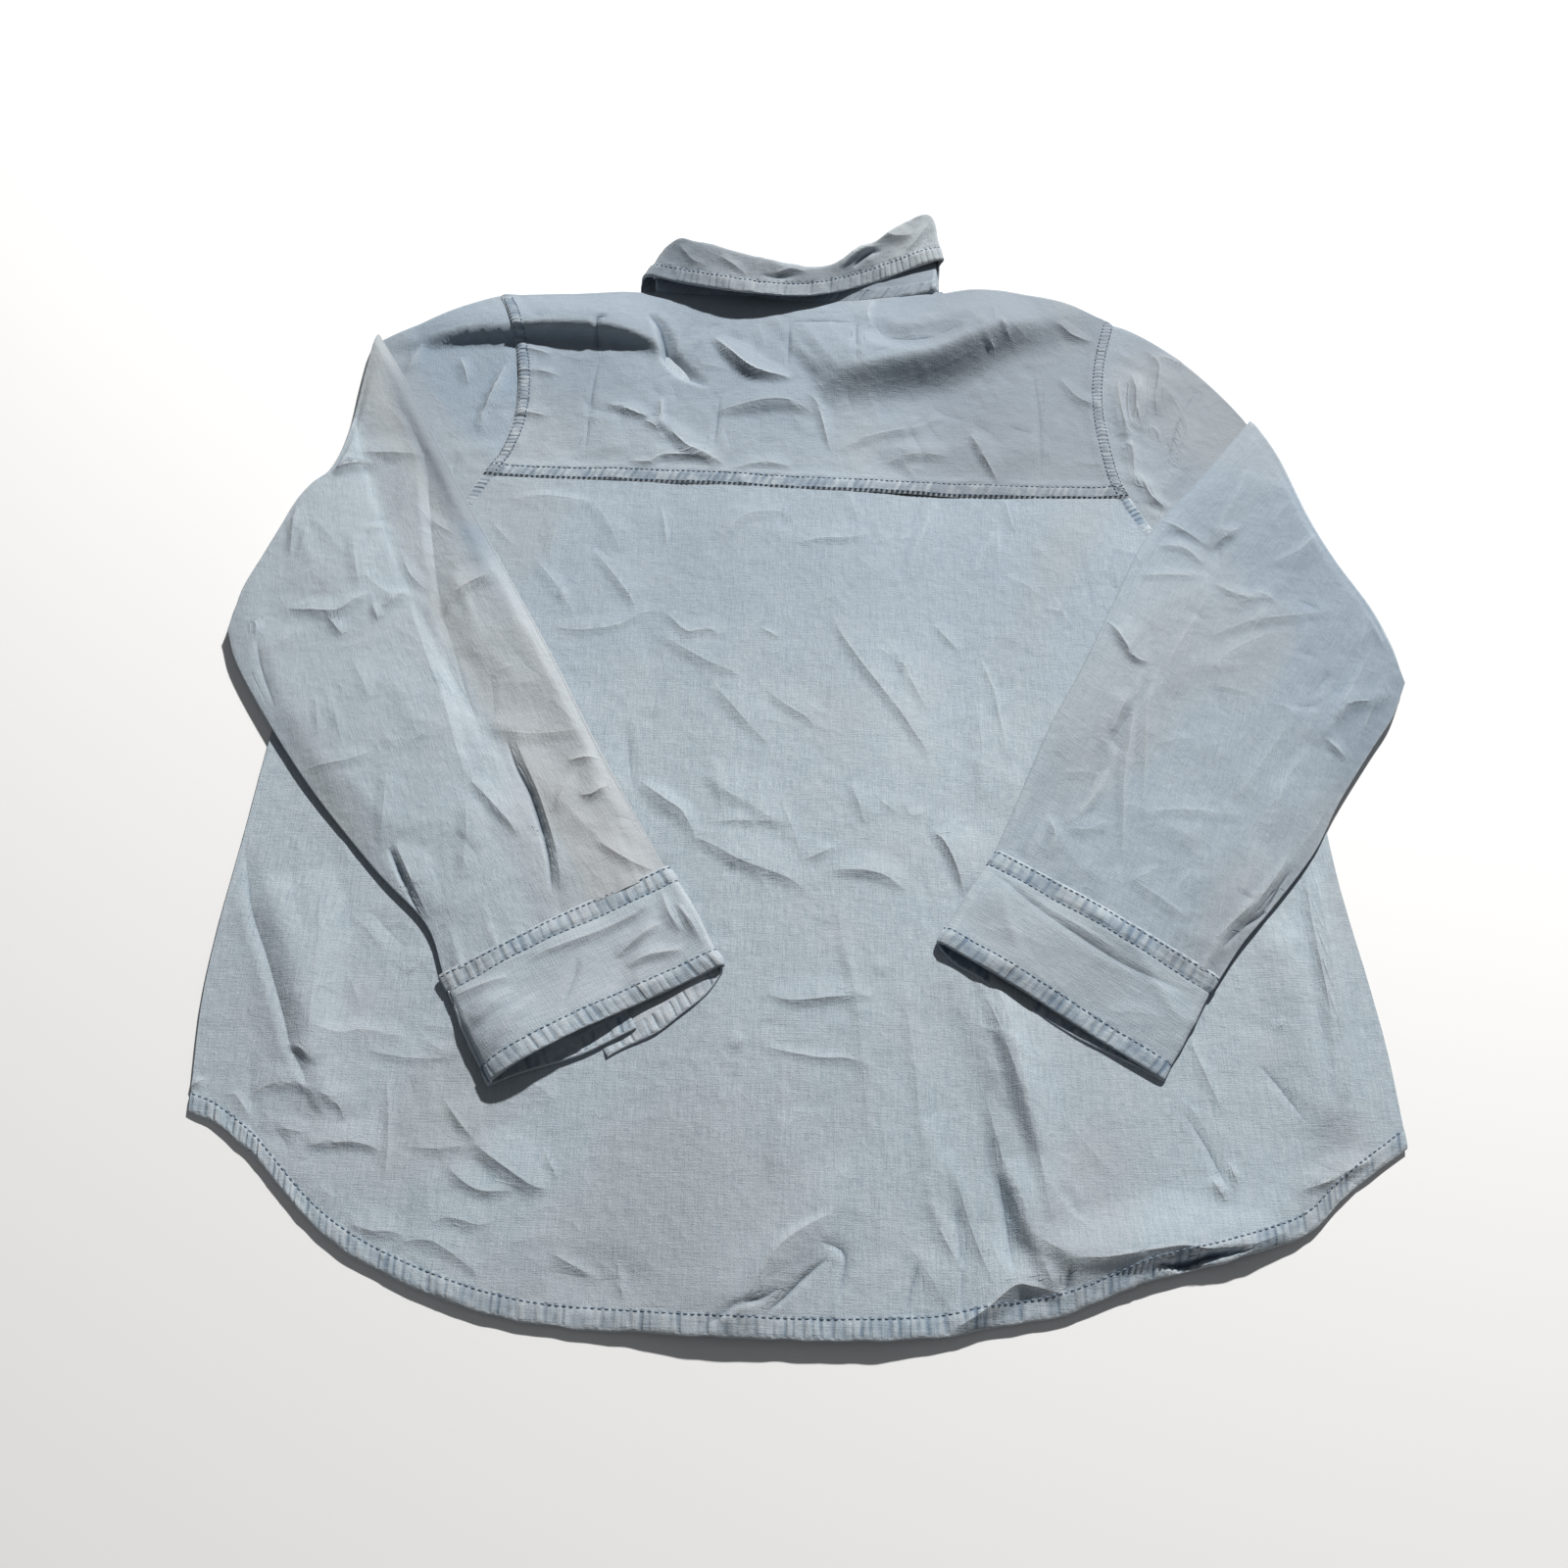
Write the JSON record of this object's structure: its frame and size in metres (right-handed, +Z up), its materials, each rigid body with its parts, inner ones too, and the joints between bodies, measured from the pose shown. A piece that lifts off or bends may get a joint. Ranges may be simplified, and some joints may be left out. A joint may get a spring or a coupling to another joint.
{
  "type": "chambray shirt",
  "caption": "Long-sleeved chambray shirt laid face down, with both sleeves folded across its back, a deep yoke, a shirt-tail hem and open cuffs.",
  "frame": {"origin": "on the surface that the shirt lies on, under the middle of the whole laid shirt", "axes": "+Z up, +Y from the hem to the collar, +X towards the wearer's right side"},
  "size_m": [0.703, 0.7376, 0.0453],
  "materials": {
    "chambray": "washed pale blue chambray, plain weave with uneven slub yarns, matt",
    "button": "pale pearly plastic"
  },
  "bodies": {
    "root": {"front_right": "chambray", "front_left": "chambray", "back": "chambray", "yoke": "chambray", "sleeve_left": "chambray", "sleeve_right": "chambray", "cuff_left": "chambray", "cuff_right": "chambray", "cuff_button_left": "button", "cuff_button_right": "button", "collar_stand": "chambray", "collar_fall": "chambray", "button_1": "button", "button_2": "button", "button_3": "button", "button_4": "button", "button_5": "button", "button_6": "button", "button_7": "button"}
  },
  "joints": []
}
